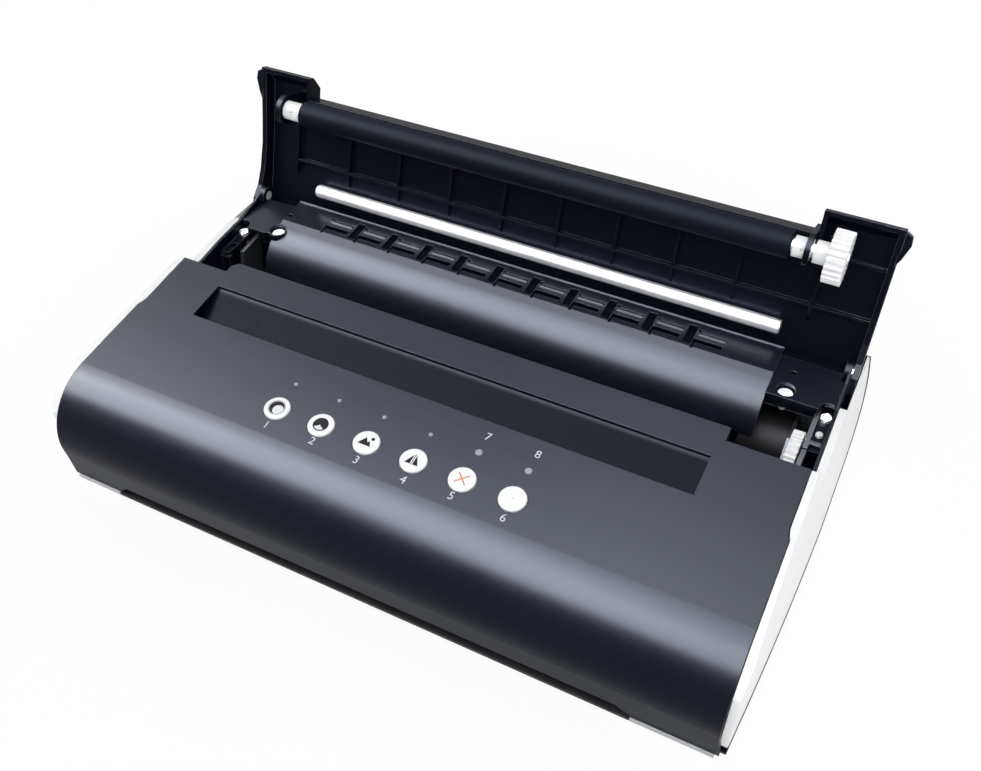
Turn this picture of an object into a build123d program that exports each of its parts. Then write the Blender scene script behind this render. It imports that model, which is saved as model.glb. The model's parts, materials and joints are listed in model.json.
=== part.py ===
from build123d import *

import math
import os

os.makedirs("parts", exist_ok=True)

# ---------------------------------------------------------------------------
# Driving dimensions, mm.
# x runs to the right and z up. Depth y and height z are given from the bottom
# front corner of the front cover, which stands FRONT_Y and FOOT_Z from the
# part's origin, the point on the table under the middle of the machine.
# ---------------------------------------------------------------------------
FRONT_Y = -99.0
FOOT_Z = 4.0
CASE_HALF = 158.1              # outside of the casing's own side walls
CASE_IN = 156.9

COVER_HALF = 158.2             # front cover
COVER_FLARE = 159.8
STRIP_HALF = 156.7
COVER_REAR = 100.4
COVER_MID_REAR = 107.5         # its middle reaches further back, between the lid's ears
COVER_MID_RIGHT = 121.5
COVER_WALL = 2.4
SHOULDER = (27.6, 22.3)        # centre of its rounded front shoulder
SHOULDER_R = 30.0
SLOPE = 5.0                    # degrees, its flat top rising to the back
SLOT_X = (-128.8, 118.6)       # document slot
SLOT_Y = (70.1, 90.7)
PATH_X = -4.55                 # middle of the paper path
EXIT_HALF = 128.3              # paper exit in the cover's bottom edge
EXIT_TOP = 5.3
CAP_PITCH = 22.72
CAP_FIRST_X = -59.2
CAP_ROW_Y = 38.95
CAP_R = 5.9
CAP_RISE = 0.9
CAP_TRAVEL = 0.8
LED_ROW_Y = 53.8

FLOOR_Z = -2.2
FLOOR_WALL = 2.0
FLOOR_FRONT = 2.7
TAIL = (150.0, 37.8)           # centre of the casing's rounded rear bottom edge
TAIL_R = 40.0
RIM_Z = 45.0
SHELF_Z = 44.6
SHELF_SCREW = (154.4, 142.6)
SWITCH_PIN = (154.2, 132.6)

HINGE = (168.0, 52.5)
LID_OPEN = 111.4               # degrees from shut to the photographed rest pose
LID_HALF = 161.2
LID_IN = 158.5
LID_FRONT = 100.8
LID_WALL = 2.2
EAR_X = (-131.8, 127.4)        # inner faces of the lid's two ears
NOTCH_Y = 111.8
SWEEP_R = 22.4                 # room about the hinge for the lid's back
SWEEP_CORE_R = 17.8
LUG_R = 5.0
LUG_X = 154.9                  # inner end of the lug that carries a hinge pin
PIN_R = 2.5
RUN = 0.05                     # radial clearance of a running fit

PLATEN = (116.7, 42.3)         # platen roller's axis with the lid shut
PLATEN_R = 6.25
SHAFT_R = 3.0
BUSH_R = 4.6
MODULE = 0.9
PLATEN_TEETH = 24
HUB_TEETH = 16
DISC_TEETH = 48
PINION_TEETH = 12
SCAN_MODULE = 0.8
SCAN_TEETH = 24
IDLER_TEETH = 16
SLACK = 0.15                   # added to each gear centre distance
BACKLASH = 0.25

FRAME_X = (149.4, 151.6)       # sheet metal side frames
DECK_Z = 51.0
DECK_HALF = 156.4
NOSE_X = (-136.1, 127.05)
WINDOWS = 11
WINDOW_PITCH = 20.06
HEAD_X = (-118.0, 109.0)
HEAD_GAP = 0.3

PATH_START = (64.5, 45.4)      # document path, running down to the exit
PATH_FALL = 36.0
GUIDE_X = (-130.0, 121.4)
SCAN_FRAME_X = (-143.4, 132.4)

POCKET_X = (-132.0, -74.0)     # recess for the mains inlet and switch
POCKET_Y = 173.0
POCKET_Z = (7.0, 27.5)
INLET_X = -117.0
SWITCH_X = -89.0
SWITCH_Z = 17.25
ROCKER_TILT = 9.0

SIDE = Plane(origin=(0, FRONT_Y, FOOT_Z), x_dir=(0, 1, 0), z_dir=(1, 0, 0))
PLAN = Plane(origin=(0, FRONT_Y, FOOT_Z))
FRONT = Plane(origin=(0, FRONT_Y, FOOT_Z), x_dir=(1, 0, 0), z_dir=(0, -1, 0))
HINGE_AXIS = Axis((0, HINGE[0] + FRONT_Y, HINGE[1] + FOOT_Z), (1, 0, 0))


# ---------------------------------------------------------------------------
# Helpers: all of them take the depth and height described above.
# ---------------------------------------------------------------------------
def brick(x, y, z, mode=Mode.ADD):
    """Box given by its low and high value along each axis."""
    centre = (sum(x) / 2, sum(y) / 2 + FRONT_Y, sum(z) / 2 + FOOT_Z)
    with Locations(centre):
        Box(x[1] - x[0], y[1] - y[0], z[1] - z[0], mode=mode)


def slab(outline, x, mode=Mode.ADD):
    """Side outline carried across from x[0] to x[1]."""
    with BuildSketch(SIDE.offset(x[0])) as face:
        with BuildLine():
            Polyline(*outline, close=True)
        make_face()
    extrude(face.sketch, amount=x[1] - x[0], mode=mode)


def carry(region, x, mode=Mode.ADD):
    """Finished side sketch carried across from x[0] to x[1]."""
    extrude(region.moved(Location((x[0], 0, 0))), amount=x[1] - x[0], mode=mode)


def bar(centre, radius, x, mode=Mode.ADD):
    """Round bar along x."""
    with BuildSketch(SIDE.offset(x[0])) as face:
        with Locations(centre):
            Circle(radius)
    extrude(face.sketch, amount=x[1] - x[0], mode=mode)


def post(x, y, radius, z, mode=Mode.ADD):
    """Round upright post."""
    with BuildSketch(PLAN.offset(z[0])) as face:
        with Locations((x, y)):
            Circle(radius)
    extrude(face.sketch, amount=z[1] - z[0], mode=mode)


def prism(outline, z, mode=Mode.ADD):
    """Plan outline standing from z[0] to z[1]."""
    with BuildSketch(PLAN.offset(z[0])) as face:
        with BuildLine():
            Polyline(*outline, close=True)
        make_face()
    extrude(face.sketch, amount=z[1] - z[0], mode=mode)


def screw(x, y, top, head_r=3.4, shank=8.0):
    """Pan head screw with a cross recess."""
    post(x, y, head_r, (top - 2.0, top))
    post(x, y, 1.5, (top - 2.0 - shank, top - 2.0))
    brick((x - 2.2, x + 2.2), (y - 0.45, y + 0.45), (top - 1.1, top + 1), Mode.SUBTRACT)
    brick((x - 0.45, x + 0.45), (y - 2.2, y + 2.2), (top - 1.1, top + 1), Mode.SUBTRACT)


def finish(builder, name, on_lid=False):
    """Opens a piece with the lid when it rides there, labels it and writes its file."""
    if on_lid:
        builder.part = Part() + builder.part.rotate(HINGE_AXIS, -LID_OPEN)
    builder.part.label = name
    export_step(builder.part, f"parts/{name}.step")


def polar(centre, distance, degrees):
    """Point at a distance and direction from a centre, in the side view."""
    turn = math.radians(degrees)
    return (centre[0] + distance * math.cos(turn), centre[1] + distance * math.sin(turn))


def bearing(start, end):
    """Direction from one point to another, in degrees."""
    return math.degrees(math.atan2(end[1] - start[1], end[0] - start[0]))


def on_path(along, above):
    """Point a distance down the document path and a height square above it."""
    foot = polar(PATH_START, along, 180 + PATH_FALL)
    return polar(foot, above, 90 + PATH_FALL)


def path_block(along, above):
    """Side outline of a block lying along the document path."""
    corners = [(0, 0), (1, 0), (1, 1), (0, 1)]
    return [on_path(along[i], above[j]) for i, j in corners]


def top_plane(lift):
    """Plane level with the cover's flat top, or lifted off it, starting where the top does."""
    turn = math.radians(SLOPE)
    y, z = polar(SHOULDER, SHOULDER_R + lift, 90 + SLOPE)
    return Plane(
        origin=(0, y + FRONT_Y, z + FOOT_Z), x_dir=(1, 0, 0), z_dir=(0, -math.sin(turn), math.cos(turn))
    )


def on_top(x, y):
    """Place on the cover's flat top at a depth, in the plane of top_plane."""
    return (x, (y - polar(SHOULDER, SHOULDER_R, 90 + SLOPE)[0]) / math.cos(math.radians(SLOPE)))


def stud(x, y, radius, lift, mode=Mode.ADD):
    """Round stud square to the cover's flat top, between two lifts."""
    with BuildSketch(top_plane(lift[0])) as face:
        with Locations(on_top(x, y)):
            Circle(radius)
    extrude(face.sketch, amount=lift[1] - lift[0], mode=mode)


# ---------------------------------------------------------------------------
# Gears
# ---------------------------------------------------------------------------
def gear(centre, teeth, module, phase, x):
    """Involute gear with a tooth centred on the phase direction."""
    pitch_r = module * teeth / 2
    base_r = pitch_r * math.cos(math.radians(20))
    tip_r = pitch_r + 0.95 * module
    root_r = pitch_r - 1.2 * module
    start_r = max(root_r, base_r)

    def involute(radius):
        angle = math.acos(min(1.0, base_r / radius))
        return math.tan(angle) - angle

    half_tooth = math.pi / 2 / teeth - BACKLASH / 4 / pitch_r + involute(pitch_r)
    flank = [(start_r + (tip_r - start_r) * k / 3) for k in range(4)]
    flank = [(radius, half_tooth - involute(radius)) for radius in flank]
    if root_r < start_r:
        flank = [(root_r, flank[0][1])] + flank
    points = []
    for tooth in range(teeth):
        middle = math.radians(phase) + 2 * math.pi * tooth / teeth
        rising = [(radius, middle - half) for radius, half in flank]
        falling = [(radius, middle + half) for radius, half in reversed(flank)]
        points += [polar(centre, radius, math.degrees(turn)) for radius, turn in rising + falling]
    slab(points, x)


def mesh_phase(teeth_a, phase_a, teeth_b, direction):
    """Phase of gear b, lying in the given direction from gear a, that puts the two in mesh."""
    step = 360 / teeth_a
    lead = (phase_a - direction + step / 2) % step - step / 2
    return direction + 180 - lead * teeth_a / teeth_b + 180 / teeth_b


def reach(module, teeth_a, teeth_b):
    """Centre distance of two gears."""
    return module * (teeth_a + teeth_b) / 2 + SLACK


CLOSING = bearing((0, 0), (HINGE[1] - PLATEN[1], PLATEN[0] - HINGE[0]))
IDLER = polar(PLATEN, reach(MODULE, PLATEN_TEETH, HUB_TEETH), CLOSING)
MOTOR = polar(IDLER, reach(MODULE, DISC_TEETH, PINION_TEETH), -15)
HUB_PHASE = 0.0
PLATEN_PHASE = mesh_phase(HUB_TEETH, HUB_PHASE, PLATEN_TEETH, CLOSING + 180)

SCAN_ROLLER_R = 6.0
EXIT_ROLLER_R = 5.0
SCAN_AXIS = on_path(30, SCAN_ROLLER_R + HEAD_GAP)
EXIT_ALONG = 59.5
EXIT_AXIS = on_path(EXIT_ALONG, EXIT_ROLLER_R + HEAD_GAP)
SCAN_SPAN = math.dist(SCAN_AXIS, EXIT_AXIS)
SCAN_REACH = reach(SCAN_MODULE, SCAN_TEETH, IDLER_TEETH)
IDLER_SIDE = math.degrees(math.acos(SCAN_SPAN / 2 / SCAN_REACH))
SCAN_IDLER = polar(SCAN_AXIS, SCAN_REACH, bearing(SCAN_AXIS, EXIT_AXIS) - IDLER_SIDE)
SCAN_MOTOR = polar(SCAN_AXIS, reach(SCAN_MODULE, SCAN_TEETH, PINION_TEETH), -62)
SCAN_IDLER_PHASE = mesh_phase(SCAN_TEETH, 0, IDLER_TEETH, bearing(SCAN_AXIS, SCAN_IDLER))
EXIT_PHASE = mesh_phase(IDLER_TEETH, SCAN_IDLER_PHASE, SCAN_TEETH, bearing(SCAN_IDLER, EXIT_AXIS))
SCAN_PINION_PHASE = mesh_phase(SCAN_TEETH, 0, PINION_TEETH, bearing(SCAN_AXIS, SCAN_MOTOR))
PINION_PHASE = mesh_phase(DISC_TEETH, HUB_PHASE, PINION_TEETH, bearing(IDLER, MOTOR))


# ---------------------------------------------------------------------------
# Outlines in the side view
# ---------------------------------------------------------------------------
def cover_region(inset, rear=COVER_REAR, low=-3.0):
    """Everything under the cover's outer surface moved inwards by the inset."""
    radius = SHOULDER_R - inset
    start = polar(SHOULDER, radius, 186.5)
    top = polar(SHOULDER, radius, 90 + SLOPE)
    foot = (start[0] + 0.116 * (start[1] - low), low)
    end = (rear, top[1] + (rear - top[0]) * math.tan(math.radians(SLOPE)))
    with BuildSketch(SIDE) as region:
        with BuildLine():
            Polyline((rear, low), foot, start)
            ThreePointArc(start, polar(SHOULDER, radius, 140), top)
            Polyline(top, end, (rear, low))
        make_face()
    return region.sketch


def casing_region(inset, top, front):
    """Everything inside the casing's floor, round tail and rear wall, moved in by the inset."""
    radius = TAIL_R - inset
    low = FLOOR_Z + inset
    back = TAIL[0] + radius
    with BuildSketch(SIDE) as region:
        with BuildLine():
            Polyline((front, top), (front, low), (TAIL[0], low))
            ThreePointArc((TAIL[0], low), polar(TAIL, radius, -45), (back, TAIL[1]))
            Polyline((back, TAIL[1]), (back, top), (front, top))
        make_face()
    return region.sketch


def panel_region(inset):
    """Side panel's outline: round front foot, round tail, and the cover's line on top."""
    front, low, nose = 2.9 + inset, FLOOR_Z + 1.15 + inset, 5.5
    radius = TAIL_R - 1.15 - inset
    back = TAIL[0] + radius
    bend = (front + nose, low + nose)
    with BuildSketch(SIDE) as region:
        with BuildLine():
            Polyline((back, TAIL[1]), (back, 60), (front, 60), (front, low + nose))
            ThreePointArc((front, low + nose), polar(bend, nose, 225), (front + nose, low))
            Line((front + nose, low), (TAIL[0], low))
            ThreePointArc((TAIL[0], low), polar(TAIL, radius, -45), (back, TAIL[1]))
        make_face()
    return region.sketch


def lid_region(inset):
    """Everything inside the shut lid's skin: bevelled front edge, crowned top and round back."""
    front, low = LID_FRONT + inset, 30.0
    shoulder = (LID_FRONT + 5.6 + inset / 2, 59.9 - inset)
    crown = (168.0, 62.4 - inset)
    back = (189.6 - inset, 49.5)
    foot = (188.8 - inset, 46.3)
    with BuildSketch(SIDE) as region:
        with BuildLine():
            Polyline((front, low), (front, 53.4 - 0.6 * inset), shoulder)
            ThreePointArc(shoulder, (134.0, 61.7 - inset), crown)
            ThreePointArc(crown, (182.4 - 0.7 * inset, 58.6 - 0.7 * inset), back)
            Polyline(back, foot, (foot[0], low), (front, low))
        make_face()
    return region.sketch


FLANGE_IN = 157.1              # inner edge of the side panel's top flange
FLANGE_Y = (66.6, 100.2)
FLANGE_REAR = 107.0
LIP_HALF = 158.0
PARTITION_X = (-148.8, 142.4)  # wall between the front electronics and the stencil path
PARTITION_Y = (97.4, 98.8)
PARTITION_TOP = 49.5
RIM_LINE = [(100.2, 48.0), (111, 48.6), (127, 50.4), (142, 51.2)]
PANEL_ABOVE = RIM_LINE + [(160, 50.4), (195, 44.4), (195, 80), (100.2, 80)]
WALL_ABOVE = RIM_LINE + [(151, 51.2), (151, RIM_Z), (195, RIM_Z), (195, 80), (100.2, 80)]
LID_BELOW = [
    (95, 20), (95, 49.0), (127, 52.2), (140, 53.2), (154, 52.6), (163, 50.8),
    (169, 47.6), (176, 46.4), (195, 46.4), (195, 20),
]


def flare(x0, grow):
    """Room inside the flared outer face of the right side panel, grown outwards."""
    with BuildPart() as room:
        with BuildSketch(FRONT.offset(5)) as upright:
            with BuildLine():
                ThreePointArc((159.3 + grow, 62), (164.6 + grow, 33), (167.0 + grow, -6))
                Polyline((167.0 + grow, -6), (x0, -6), (x0, 62), (159.3 + grow, 62))
            make_face()
        extrude(upright.sketch, amount=-205)
        with BuildSketch(PLAN.offset(-6)) as level:
            with BuildLine():
                ThreePointArc((160.9 + grow, -5), (165.4 + grow, 70), (167.2 + grow, 198))
                Polyline((167.2 + grow, 198), (x0, 198), (x0, -5), (160.9 + grow, -5))
            make_face()
        extrude(level.sketch, amount=68, mode=Mode.INTERSECT)
    return room.part


def clear_sweep(x):
    """Cuts the room that the lid's back turns through."""
    wedges = [
        (SWEEP_CORE_R, [(40, -134), (60, -122), (40, -110)]),
        (12.6, [(40, -112), (60, -98), (40, -84)]),
        (7.2, [(40, -88), (60, -44), (60, 0), (60, 45), (40, 90)]),
    ]
    for core, corners in wedges:
        with BuildSketch(SIDE.offset(x[0])) as path:
            with BuildLine():
                Polyline(HINGE, *[polar(HINGE, far, turn) for far, turn in corners], close=True)
            make_face()
            with Locations(HINGE):
                Circle(SWEEP_R, mode=Mode.INTERSECT)
                Circle(core, mode=Mode.SUBTRACT)
        extrude(path.sketch, amount=x[1] - x[0], mode=Mode.SUBTRACT)


def mirrored(part):
    """The same piece on the left side."""
    return mirror(part, about=Plane.YZ)


# ---------------------------------------------------------------------------
# Casing
# ---------------------------------------------------------------------------
with BuildPart() as side_wall:
    WALL_X = (CASE_IN, CASE_HALF)
    carry(casing_region(0, 56, 3.2), WALL_X)
    carry(cover_region(2.9, rear=200, low=-2.6), WALL_X, Mode.INTERSECT)
    slab(WALL_ABOVE, WALL_X, Mode.SUBTRACT)
    brick(WALL_X, (FLANGE_Y[1] - 0.4, FLANGE_REAR + 0.4), (RIM_LINE[0][1] - 2.4, 60), Mode.SUBTRACT)
    clear_sweep(WALL_X)
    slab([(143, 36), (150.5, 38), (168, 47.5), (168, 57.5), (158, 54), (143, 51.1)], WALL_X)
    bar(HINGE, LUG_R, (LUG_X, CASE_HALF))
    bar(HINGE, PIN_R, (150, 160), Mode.SUBTRACT)
    brick((152.2, CASE_IN), (126, 158), (SHELF_Z - 3, SHELF_Z))
    brick((FRAME_X[1], CASE_IN), (124.6, 127.4), (FLOOR_Z + 1, SHELF_Z - 2))
    post(SWITCH_PIN[0], SWITCH_PIN[1], 1.6 + RUN, (30, 60), Mode.SUBTRACT)
    post(SHELF_SCREW[0], SHELF_SCREW[1], 1.5, (30, 60), Mode.SUBTRACT)

with BuildPart() as side_rim:
    carry(casing_region(0, RIM_Z, FLOOR_FRONT), (CASE_HALF, 170))
    carry(casing_region(1.0, 60, -10), (CASE_HALF, 170), Mode.SUBTRACT)
    add(flare(150, 0.35), mode=Mode.INTERSECT)
    clear_sweep((CASE_HALF, LID_HALF + 0.3))

with BuildPart() as inlet_pocket:
    carry(casing_region(0, 60, 0), (POCKET_X[0] - 2, POCKET_X[1] + 2))
    brick(
        (POCKET_X[0] - 2, POCKET_X[1] + 2), (POCKET_Y - 2, 195),
        (POCKET_Z[0] - 2, POCKET_Z[1] + 2), Mode.INTERSECT,
    )

SPRING_X = (-96.0, -36.0, 27.0, 87.0)
HEAD_PIN_X = (-108.0, 99.0)
BOARD_BOSSES = [(x, y) for x in (-92, 92) for y in (54, 92)]
POWER_BOSSES = [(x, y, low) for x in (-64, 54) for y, low in ((139, FLOOR_Z + 1), (162, 0.8))]

with BuildPart() as base_casing:
    carry(casing_region(0, RIM_Z, FLOOR_FRONT), (-CASE_HALF, CASE_HALF))
    carry(casing_region(FLOOR_WALL, 60, -10), (-CASE_HALF - 1, CASE_HALF + 1), Mode.SUBTRACT)
    clear_sweep((-CASE_HALF, CASE_HALF))
    add([side_wall.part, mirrored(side_wall.part), side_rim.part, mirrored(side_rim.part)])
    add(inlet_pocket.part)
    brick(POCKET_X, (POCKET_Y, 200), POCKET_Z, Mode.SUBTRACT)
    brick((INLET_X - 10.5, INLET_X + 10.5), (165, 180), (10.5, 23.5), Mode.SUBTRACT)
    brick((SWITCH_X - 6.8, SWITCH_X + 6.8), (165, 180), (SWITCH_Z - 9, SWITCH_Z + 9), Mode.SUBTRACT)
    brick(PARTITION_X, PARTITION_Y, (FLOOR_Z + 1, PARTITION_TOP))
    for x, y in BOARD_BOSSES:
        post(x, y, 3.0, (FLOOR_Z + 1, 5.8))
    for x, y, low in POWER_BOSSES:
        post(x, y, 3.0, (low, 4.0))
    for x in SPRING_X:
        post(x, 115, 4.5, (FLOOR_Z + 1, 9.6))
    for x in HEAD_PIN_X:
        post(x, 115, 4.0, (FLOOR_Z + 1, 10.0))
    for column in range(14):
        x = 12 + 7.5 * column
        brick((x, x + 3.2), (160, 195), (9, 27), Mode.SUBTRACT)
    for row in range(5):
        brick((-40, 40), (100 + 6 * row, 102.6 + 6 * row), (-5, 2), Mode.SUBTRACT)
finish(base_casing, "base_casing")

with BuildPart() as front_lip:
    for x in ((-LIP_HALF, PATH_X - EXIT_HALF), (PATH_X + EXIT_HALF, LIP_HALF)):
        slab([(-0.6, FLOOR_Z), (-0.9, -0.5), (2.5, -0.5), (FLOOR_FRONT, FLOOR_Z)], x)
finish(front_lip, "front_lip")

with BuildPart() as rubber_feet:
    for x in (-135, 135):
        for y in (18, 142):
            post(x, y, 7.0, (-FOOT_Z, FLOOR_Z))
    fillet(rubber_feet.faces().sort_by(Axis.Z)[:4].edges(), 0.6)
finish(rubber_feet, "rubber_feet")

with BuildPart() as panel_hollow:
    carry(panel_region(1.8), (150, 172))
    carry(cover_region(2.05, rear=200), (150, 172), Mode.INTERSECT)
    roof = [(FLANGE_Y[1] - 1.8, 46.2)] + [(y, z - 1.8) for y, z in PANEL_ABOVE[1:6]]
    slab(roof + [(195, 80), (FLANGE_Y[1] - 1.8, 80)], (140, 175), Mode.SUBTRACT)
    add(flare(140, -1.8), mode=Mode.INTERSECT)

with BuildPart() as panel_flange:
    prism([(159.2, 66.6), (158.0, 66.6), (FLANGE_IN, 70.6), (FLANGE_IN, FLANGE_Y[1]), (159.2, FLANGE_Y[1])], (30, 70))
    carry(cover_region(0.25, rear=FLANGE_Y[1]), (150, 165), Mode.INTERSECT)
    carry(cover_region(2.5, rear=FLANGE_Y[1]), (150, 165), Mode.SUBTRACT)
    brick((FLANGE_IN, 159.2), (FLANGE_Y[1], FLANGE_REAR), (RIM_LINE[0][1] - 2.0, RIM_LINE[0][1]))
    brick((158.5, 159.2), (FLANGE_Y[1] - 1, FLANGE_Y[1] + 1), (RIM_LINE[0][1] - 2.0, RIM_LINE[0][1]))

with BuildPart() as right_side_panel:
    carry(panel_region(0), (158.5, 172))
    carry(cover_region(0.25, rear=200), (158.5, 172), Mode.INTERSECT)
    slab(PANEL_ABOVE, (150, 175), Mode.SUBTRACT)
    add(flare(150, 0), mode=Mode.INTERSECT)
    add(panel_hollow.part, mode=Mode.SUBTRACT)
    add(panel_flange.part)
    brick((150, LID_HALF + 0.4), (146, 200), (20, 80), Mode.SUBTRACT)
finish(right_side_panel, "right_side_panel")

with BuildPart() as left_side_panel:
    add(mirrored(right_side_panel.part))
finish(left_side_panel, "left_side_panel")

# ---------------------------------------------------------------------------
# Front cover with the document slot, the exit slot and the button holes
# ---------------------------------------------------------------------------
END_SHAPE = [(COVER_HALF, 70), (COVER_HALF, 15), (COVER_FLARE, -1), (COVER_FLARE, -6)]

with BuildPart() as front_cover:
    carry(cover_region(0, rear=COVER_MID_REAR), (-165, 165))
    carry(cover_region(COVER_WALL, rear=130, low=-5), (-165, 165), Mode.SUBTRACT)
    with BuildSketch(FRONT.offset(10)) as ends:
        with BuildLine():
            Polyline(*END_SHAPE, *[(-x, z) for x, z in reversed(END_SHAPE)], close=True)
        make_face()
    extrude(ends.sketch, amount=-140, mode=Mode.INTERSECT)
    brick((-170, 170), (-10, 130), (-6, -0.2), Mode.SUBTRACT)
    for sign in (-1, 1):
        strip = [(156.7, 70), (156.7, 120), (175, 120), (175, 64.6), (158.6, 64.6), (157.6, 66)]
        prism([(sign * x, y) for x, y in strip], (30, 80), Mode.SUBTRACT)
    brick((-170, EAR_X[0] + 0.5), (COVER_REAR, 130), (30, 80), Mode.SUBTRACT)
    brick((COVER_MID_RIGHT, 170), (COVER_REAR, 130), (30, 80), Mode.SUBTRACT)
    brick((EAR_X[0] + 0.5, COVER_MID_RIGHT), (COVER_MID_REAR - 1.8, COVER_MID_REAR), (53, 58))
    brick((-STRIP_HALF, EAR_X[0] + 2.3), (COVER_REAR - 1.8, COVER_REAR), (51, 57.5))
    brick((COVER_MID_RIGHT - 1.8, STRIP_HALF), (COVER_REAR - 1.8, COVER_REAR), (51, 57.5))
    corner = [(EAR_X[0], COVER_MID_REAR - 3.4), (EAR_X[0], COVER_MID_REAR + 1), (EAR_X[0] + 4.6, COVER_MID_REAR + 1)]
    prism(corner, (30, 80), Mode.SUBTRACT)
    brick(SLOT_X, SLOT_Y, (45, 70), Mode.SUBTRACT)
    trough = [(66, 44.9), (92.3, 54.9), (92.3, 57), (90.7, 57), (90.7, 56.3), (66, 46.9)]
    slab(trough, (SLOT_X[0] - 1.6, SLOT_X[1] + 1.6))
    cheek = [(66, 44.9), (92.3, 54.9), (92.3, 57), (66, 54.4)]
    slab(cheek, (SLOT_X[0] - 1.6, SLOT_X[0]))
    slab(cheek, (SLOT_X[1], SLOT_X[1] + 1.6))
    with BuildSketch(FRONT.offset(8)) as exit_slot:
        with BuildLine():
            Polyline(
                (PATH_X - EXIT_HALF, -1), (PATH_X - EXIT_HALF + 6, EXIT_TOP),
                (PATH_X + EXIT_HALF - 6, EXIT_TOP), (PATH_X + EXIT_HALF, -1), close=True,
            )
        make_face()
    extrude(exit_slot.sketch, amount=-14, mode=Mode.SUBTRACT)
    for number in range(6):
        x = CAP_FIRST_X + CAP_PITCH * number
        stud(x, CAP_ROW_Y, CAP_R + 0.3, (-6, 3), Mode.SUBTRACT)
        stud(x, LED_ROW_Y, 1.0 if number < 4 else 1.6, (-6, 3), Mode.SUBTRACT)
finish(front_cover, "front_cover")

CAPS = ["lighter_button", "darker_button", "photo_button", "mirror_button", "stop_button", "copy_button"]
for number, name in enumerate(CAPS):
    x = CAP_FIRST_X + CAP_PITCH * number
    with BuildPart() as cap:
        stud(x, CAP_ROW_Y, CAP_R, (-3.0, CAP_RISE))
        fillet(cap.edges().sort_by(Axis.Z)[-1:], 0.5)
        stud(x, CAP_ROW_Y, CAP_R + 1.0, (-3.7, -COVER_WALL - 0.3))
    finish(cap, name)

BOARD_Y = (33.0, 57.0)
with BuildPart() as button_board:
    with BuildSketch(top_plane(-10.8)) as sheet:
        near, far = on_top(0, BOARD_Y[0])[1], on_top(0, BOARD_Y[1])[1]
        with Locations((-2.5, (near + far) / 2)):
            Rectangle(146, far - near)
    extrude(sheet.sketch, amount=1.6)
finish(button_board, "button_board")

with BuildPart() as tact_switches:
    for number in range(6):
        x = CAP_FIRST_X + CAP_PITCH * number
        with BuildSketch(top_plane(-9.2)) as body:
            with Locations(on_top(x, CAP_ROW_Y)):
                Rectangle(6, 6)
        extrude(body.sketch, amount=3.6)
        stud(x, CAP_ROW_Y, 1.7, (-5.6, -CAP_TRAVEL - 3.7 - 0.1))
finish(tact_switches, "tact_switches")

with BuildPart() as led_lenses:
    for number in range(6):
        x = CAP_FIRST_X + CAP_PITCH * number
        stud(x, LED_ROW_Y, 0.9 if number < 4 else 1.5, (-9.2, 0.15))
finish(led_lenses, "led_lenses")

# ---------------------------------------------------------------------------
# Document path: guide, scan bar, rollers and their gears
# ---------------------------------------------------------------------------
SCAN_PLATE = [(8.5, 0), (60, 0), (60, 34), (50, 41), (30, 41), (13, 31), (8.5, 20)]
PINCH_AXIS = on_path(EXIT_ALONG, -3.2)
PINCH_X = (-80.0, -4.5, 70.0)

with BuildPart() as scan_frames:
    for x in ((SCAN_FRAME_X[0], SCAN_FRAME_X[0] + 1.4), (SCAN_FRAME_X[1] - 1.4, SCAN_FRAME_X[1])):
        slab([(y, z + FLOOR_Z + FLOOR_WALL) for y, z in SCAN_PLATE], x)
        for axis in (SCAN_AXIS, EXIT_AXIS):
            bar(axis, SHAFT_R + RUN, x, Mode.SUBTRACT)
        bar(PINCH_AXIS, 1.55, x, Mode.SUBTRACT)
    bar(SCAN_IDLER, 2.0, (SCAN_FRAME_X[0], SCAN_FRAME_X[0] + 1.4), Mode.SUBTRACT)
    bar(SCAN_MOTOR, 4.0, (SCAN_FRAME_X[0], SCAN_FRAME_X[0] + 1.4), Mode.SUBTRACT)
finish(scan_frames, "scan_frames")

with BuildPart() as paper_guide:
    slab(path_block((0.6, 74.5), (-1.5, 0)), GUIDE_X)
    slab(path_block((22.5, 37.5), (-3, 3)), (-127.5, 118.5), Mode.SUBTRACT)
    for x in PINCH_X:
        slab(path_block((EXIT_ALONG - 4.5, EXIT_ALONG + 4.5), (-3, 3)), (x - 11, x + 11), Mode.SUBTRACT)
finish(paper_guide, "paper_guide")

with BuildPart() as scan_bar:
    slab(path_block((21, 39), (-14, -2.2)), (-126, 117))
    slab(path_block((25, 35), (-7, -2.0)), (-123, 114), Mode.SUBTRACT)
finish(scan_bar, "scan_bar")

with BuildPart() as scan_glass:
    slab(path_block((23.2, 36.8), (-2.2, -0.1)), (-126, 117))
finish(scan_glass, "scan_glass")

with BuildPart() as scan_roller:
    bar(SCAN_AXIS, SCAN_ROLLER_R, (-126, 117))
    bar(SCAN_AXIS, SHAFT_R, (-130, 120), Mode.SUBTRACT)
finish(scan_roller, "scan_roller")

with BuildPart() as scan_shaft:
    bar(SCAN_AXIS, SHAFT_R, (-150.4, 134))
finish(scan_shaft, "scan_shaft")

with BuildPart() as exit_roller:
    bar(EXIT_AXIS, EXIT_ROLLER_R, (-126, 117))
    bar(EXIT_AXIS, SHAFT_R, (-130, 120), Mode.SUBTRACT)
finish(exit_roller, "exit_roller")

with BuildPart() as exit_shaft:
    bar(EXIT_AXIS, SHAFT_R, (-150.4, 134))
finish(exit_shaft, "exit_shaft")

SCAN_GEAR_X = (-149.6, -144.2)
with BuildPart() as scan_gear:
    gear(SCAN_AXIS, SCAN_TEETH, SCAN_MODULE, 0, SCAN_GEAR_X)
    bar(SCAN_AXIS, SHAFT_R, (-155, -140), Mode.SUBTRACT)
finish(scan_gear, "scan_gear")

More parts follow.
